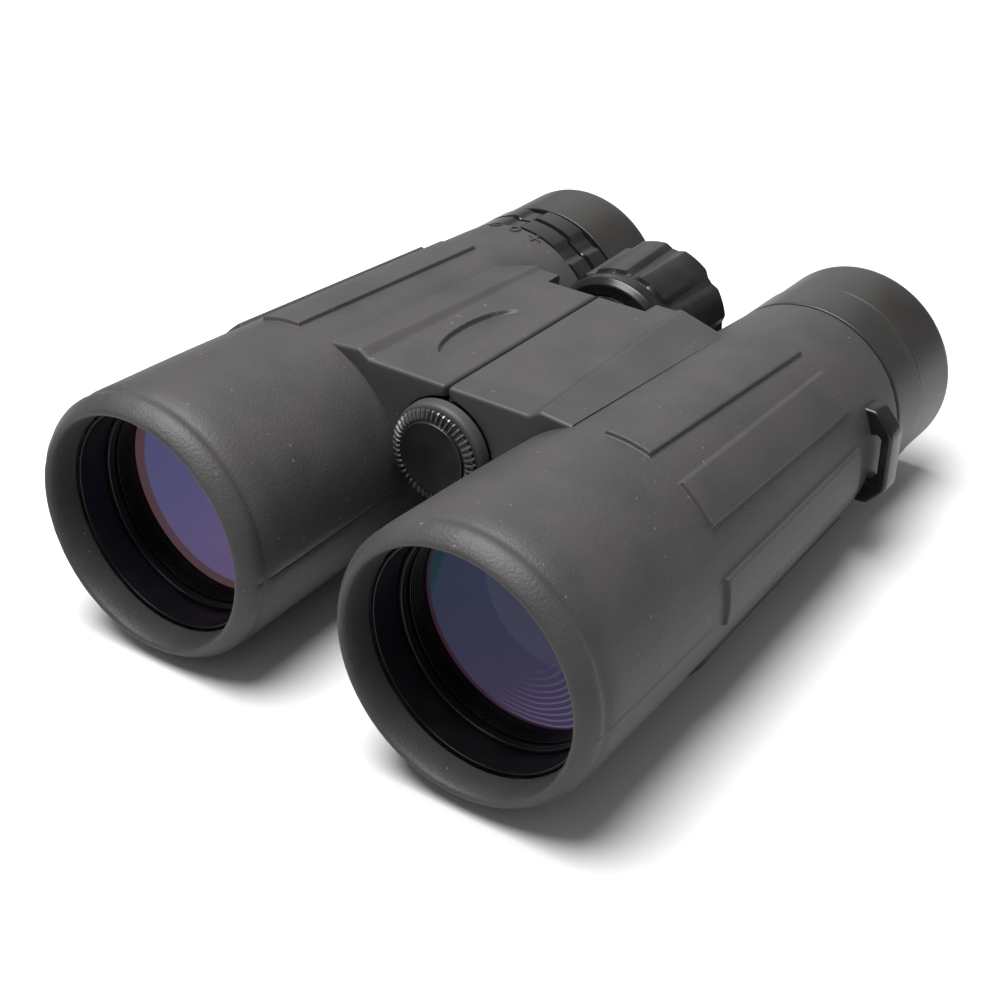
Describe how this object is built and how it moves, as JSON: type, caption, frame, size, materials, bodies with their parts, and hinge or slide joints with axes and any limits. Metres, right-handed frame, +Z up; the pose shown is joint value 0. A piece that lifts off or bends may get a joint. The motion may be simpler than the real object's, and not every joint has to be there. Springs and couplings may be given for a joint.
{
  "type": "binoculars",
  "caption": "Compact roof-prism binoculars with rubber-armoured barrels on a centre hinge, a central focus knob, a dioptre ring and twist-up eyecups.",
  "frame": {"origin": "middle of the base of the bounding box, under the hinge line", "axes": "+X towards the user's left barrel, +Y from the objectives to the eyepieces along the optical axes, +Z up"},
  "size_m": [0.1252, 0.148, 0.0536],
  "materials": {
    "armour_rubber": "matte fine-grained charcoal rubber armour",
    "cup_rubber": "soft matte rubber",
    "dark_plastic": "satin moulded plastic",
    "gloss_black": "glossy black plastic",
    "cast_metal": "cast light alloy, machined at the bores",
    "black_anodised": "black anodised",
    "steel": "ground steel",
    "brass": "turned brass",
    "nylon": "plain nylon",
    "coated_glass": "anti-reflection coated glass, blue-violet",
    "inner_glass": "plain optical glass"
  },
  "bodies": {
    "left_barrel": {"left_housing": "cast_metal", "left_armour": "armour_rubber", "left_bridge_cover": "armour_rubber", "left_strap_lug": "gloss_black", "left_objective_tube": "black_anodised", "left_retaining_ring": "black_anodised", "left_front_lens": "coated_glass", "left_rear_lens": "inner_glass", "left_prism_cage": "cast_metal", "left_half_penta_prism": "inner_glass", "left_roof_prism": "inner_glass", "left_ocular_tube": "black_anodised", "left_field_lens": "inner_glass", "left_eye_lens": "coated_glass", "left_base_ring": "dark_plastic", "hinge_axle": "steel", "hinge_washer_front": "brass", "hinge_washer_rear": "brass", "tripod_socket": "black_anodised", "focus_bush": "black_anodised"},
    "right_barrel": {"right_housing": "cast_metal", "right_armour": "armour_rubber", "right_bridge_cover": "armour_rubber", "right_strap_lug": "gloss_black", "right_objective_tube": "black_anodised", "right_retaining_ring": "black_anodised", "right_front_lens": "coated_glass", "right_rear_lens": "inner_glass", "right_prism_cage": "cast_metal", "right_half_penta_prism": "inner_glass", "right_roof_prism": "inner_glass", "right_ocular_tube": "black_anodised", "right_eye_lens": "coated_glass"},
    "focus_knob": {"focus_screw": "brass", "knob_hub": "cast_metal", "knob_skirt": "gloss_black", "knob_grip": "dark_plastic", "knob_cap": "dark_plastic"},
    "left_focus": {"left_focus_arm": "cast_metal", "left_focus_lens": "inner_glass", "focus_rod": "steel", "focus_cross_pin": "steel"},
    "right_focus": {"right_focus_arm": "cast_metal", "right_focus_lens": "inner_glass"},
    "dioptre_ring": {"right_dioptre_ring": "dark_plastic"},
    "dioptre_cell": {"right_dioptre_cell": "black_anodised", "right_field_lens": "inner_glass"},
    "left_eyecup_guide": {"left_eyecup_guide": "nylon"},
    "left_eyecup": {"left_eyecup_sleeve": "black_anodised", "left_eyecup_rubber": "cup_rubber"},
    "right_eyecup_guide": {"right_eyecup_guide": "nylon"},
    "right_eyecup": {"right_eyecup_sleeve": "black_anodised", "right_eyecup_rubber": "cup_rubber"},
    "cap_seal": {"tripod_cap_seal": "nylon"},
    "tripod_cap": {"tripod_cap": "dark_plastic"}
  },
  "joints": [
    {"name": "barrel_fold", "type": "hinge", "parent": "left_barrel", "child": "right_barrel", "pos_m": [0, 0, 0.037], "axis": [0, 1, 0], "range_deg": [-48, 0]},
    {"name": "focus_turn", "type": "hinge", "parent": "left_barrel", "child": "focus_knob", "pos_m": [0, 0.0394, 0.037], "axis": [0, 1, 0], "range_deg": [-270, 270]},
    {"name": "left_focus_slide", "type": "slide", "parent": "left_barrel", "child": "left_focus", "axis": [0, 1, 0], "range_m": [-0.003, 0.003]},
    {"name": "right_focus_slide", "type": "slide", "parent": "right_barrel", "child": "right_focus", "axis": [0, 1, 0], "range_m": [-0.003, 0.003]},
    {"name": "dioptre_turn", "type": "hinge", "parent": "right_barrel", "child": "dioptre_ring", "pos_m": [-0.03575, 0.0515, 0.0268], "axis": [0, 1, 0], "range_deg": [-60, 60]},
    {"name": "dioptre_slide", "type": "slide", "parent": "right_barrel", "child": "dioptre_cell", "axis": [0, 1, 0], "range_m": [-0.0012, 0.0012]},
    {"name": "left_eyecup_rise", "type": "slide", "parent": "left_barrel", "child": "left_eyecup_guide", "axis": [0, 1, 0], "range_m": [0, 0.009]},
    {"name": "left_eyecup_turn", "type": "hinge", "parent": "left_eyecup_guide", "child": "left_eyecup", "pos_m": [0.03575, 0.062, 0.0268], "axis": [0, 1, 0], "range_deg": [0, 120]},
    {"name": "right_eyecup_rise", "type": "slide", "parent": "right_barrel", "child": "right_eyecup_guide", "axis": [0, 1, 0], "range_m": [0, 0.009]},
    {"name": "right_eyecup_turn", "type": "hinge", "parent": "right_eyecup_guide", "child": "right_eyecup", "pos_m": [-0.03575, 0.062, 0.0268], "axis": [0, 1, 0], "range_deg": [0, 120]},
    {"name": "cap_travel", "type": "slide", "parent": "left_barrel", "child": "cap_seal", "axis": [0, -1, 0], "range_m": [0, 0.00508]},
    {"name": "cap_turn", "type": "hinge", "parent": "cap_seal", "child": "tripod_cap", "pos_m": [0, -0.0315, 0.037], "axis": [0, -1, 0], "range_deg": [0, 1440]}
  ],
  "couplings": [
    {"joint": "left_focus_slide", "follows": "focus_turn", "m_per_rad": 0.000636},
    {"joint": "right_focus_slide", "follows": "focus_turn", "m_per_rad": 0.000636},
    {"joint": "dioptre_slide", "follows": "dioptre_turn", "m_per_rad": 0.0011},
    {"joint": "left_eyecup_rise", "follows": "left_eyecup_turn", "m_per_rad": 0.004295},
    {"joint": "right_eyecup_rise", "follows": "right_eyecup_turn", "m_per_rad": 0.004295},
    {"joint": "cap_turn", "follows": "cap_travel", "rad_per_m": 4947}
  ]
}
